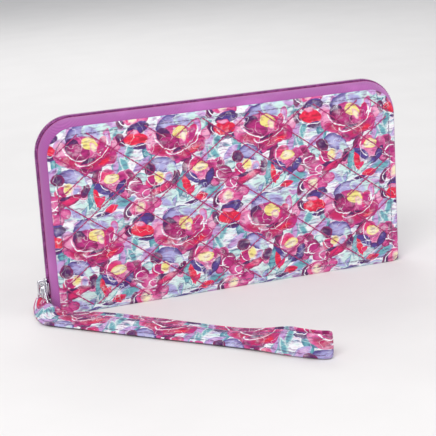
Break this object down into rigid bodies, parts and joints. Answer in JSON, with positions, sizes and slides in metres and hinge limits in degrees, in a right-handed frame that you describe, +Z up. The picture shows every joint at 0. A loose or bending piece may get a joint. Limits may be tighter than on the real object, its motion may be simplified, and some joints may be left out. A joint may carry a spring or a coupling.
{
  "type": "wristlet wallet",
  "caption": "Zip-around quilted wallet standing on its spine, with card slots, a zipped coin pocket and a wrist strap hung from a triangle ring on the slider.",
  "frame": {"origin": "middle of the spine's underside, which the wallet stands on", "axes": "+Z up, +X along the wallet's length, away from the slider, front cover faces -Y"},
  "size_m": [0.2191, 0.1582, 0.1087],
  "materials": {
    "quilted_print": "quilted floral cotton, matte",
    "stiffener_board": "fibre board",
    "lining_cloth": "plain weave lining",
    "zip_tape": "woven tape",
    "zip_coil": "moulded coil, satin",
    "zip_hardware": "polished nickel"
  },
  "bodies": {
    "back_and_spine": {"back_outer_panel": "quilted_print", "back_board": "stiffener_board", "back_lining": "lining_cloth", "back_card_slot_1": "lining_cloth", "back_card_slot_2": "lining_cloth", "back_card_slot_3": "lining_cloth", "back_slip_pocket": "lining_cloth", "back_zip_tape": "zip_tape", "back_zip_chain": "zip_coil", "back_zip_stops": "zip_hardware", "spine_panel": "quilted_print", "spine_lining": "lining_cloth", "gusset_left": "lining_cloth", "gusset_right": "lining_cloth"},
    "front_cover": {"front_outer_panel": "quilted_print", "front_board": "stiffener_board", "front_lining": "lining_cloth", "front_card_slot_1": "lining_cloth", "front_card_slot_2": "lining_cloth", "front_card_slot_3": "lining_cloth", "front_slip_pocket": "lining_cloth", "front_zip_tape": "zip_tape", "front_zip_chain": "zip_coil", "front_zip_stops": "zip_hardware"},
    "coin_pocket": {"pocket_front_wall": "lining_cloth", "pocket_back_wall": "lining_cloth", "pocket_seam": "lining_cloth", "coin_zip_tape": "zip_tape", "coin_zip_chain": "zip_coil", "coin_zip_stops": "zip_hardware"},
    "slider": {"slider_body": "zip_hardware", "slider_crown": "zip_hardware"},
    "pull": {"pull_tab": "zip_hardware"},
    "ring": {"triangle_ring": "zip_hardware"},
    "strap": {"wrist_strap": "quilted_print"},
    "coin_slider": {"coin_slider_body": "zip_hardware", "coin_slider_crown": "zip_hardware"},
    "coin_pull": {"coin_slider_pull": "zip_hardware"}
  },
  "joints": [
    {"name": "cover_open", "type": "hinge", "parent": "back_and_spine", "child": "front_cover", "pos_m": [0, -0.0125, 0], "axis": [1, 0, 0], "range_deg": [0, 45]},
    {"name": "pocket_fan", "type": "hinge", "parent": "back_and_spine", "child": "coin_pocket", "pos_m": [0, 0, 0.0036], "axis": [1, 0, 0], "range_deg": [0, 22.5]},
    {"name": "slider_run", "type": "slide", "parent": "back_and_spine", "child": "slider", "axis": [0, 0, 1], "range_m": [0, 0.066]},
    {"name": "pull_swing", "type": "hinge", "parent": "slider", "child": "pull", "pos_m": [-0.1096, 0, 0.0146], "axis": [0, 1, 0], "range_deg": [0, 100]},
    {"name": "ring_swing", "type": "hinge", "parent": "slider", "child": "ring", "pos_m": [-0.1096, 0, 0.0162], "axis": [-0.1736, 0.9848, 0], "range_deg": [0, 55]},
    {"name": "strap_lift", "type": "hinge", "parent": "ring", "child": "strap", "pos_m": [-0.1096, 0, 0.005], "axis": [0.1736, -0.9848, 0], "range_deg": [0, 110]},
    {"name": "coin_slider_run", "type": "slide", "parent": "coin_pocket", "child": "coin_slider", "axis": [1, 0, 0], "range_m": [0, 0.155]},
    {"name": "coin_pull_swing", "type": "hinge", "parent": "coin_slider", "child": "coin_pull", "pos_m": [-0.0788, 0, 0.09145], "axis": [0, -1, 0], "range_deg": [0, 135]}
  ],
  "couplings": [
    {"joint": "pocket_fan", "follows": "cover_open", "ratio": 0.5},
    {"joint": "ring_swing", "follows": "strap_lift", "ratio": 0.5}
  ]
}
